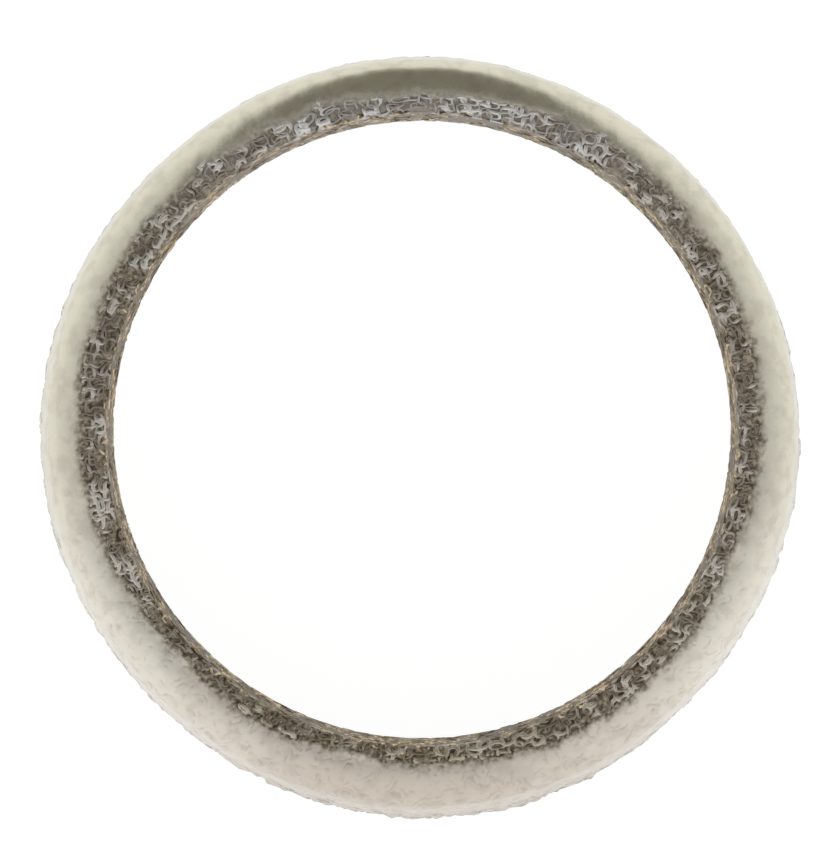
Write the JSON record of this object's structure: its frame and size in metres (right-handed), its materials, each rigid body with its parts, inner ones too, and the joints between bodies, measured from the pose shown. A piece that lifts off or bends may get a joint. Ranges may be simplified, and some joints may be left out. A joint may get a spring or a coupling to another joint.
{
  "type": "exhaust gasket",
  "caption": "Ring gasket of pressed knitted wire and graphite with a spherical outside, which seals the joint of two exhaust pipes.",
  "frame": {"origin": "centre of the bore in the plane of the flat wide end, which the ring rests on", "axes": "+Z along the bore's axis, from the wide end to the narrow end; X and Y are alike, because the ring is round"},
  "size_m": [0.062, 0.062, 0.014],
  "materials": {
    "pressed_skin": "satin",
    "bare_wire": "satin"
  },
  "bodies": {
    "root": {"gasket_ring": "pressed_skin"}
  },
  "joints": []
}
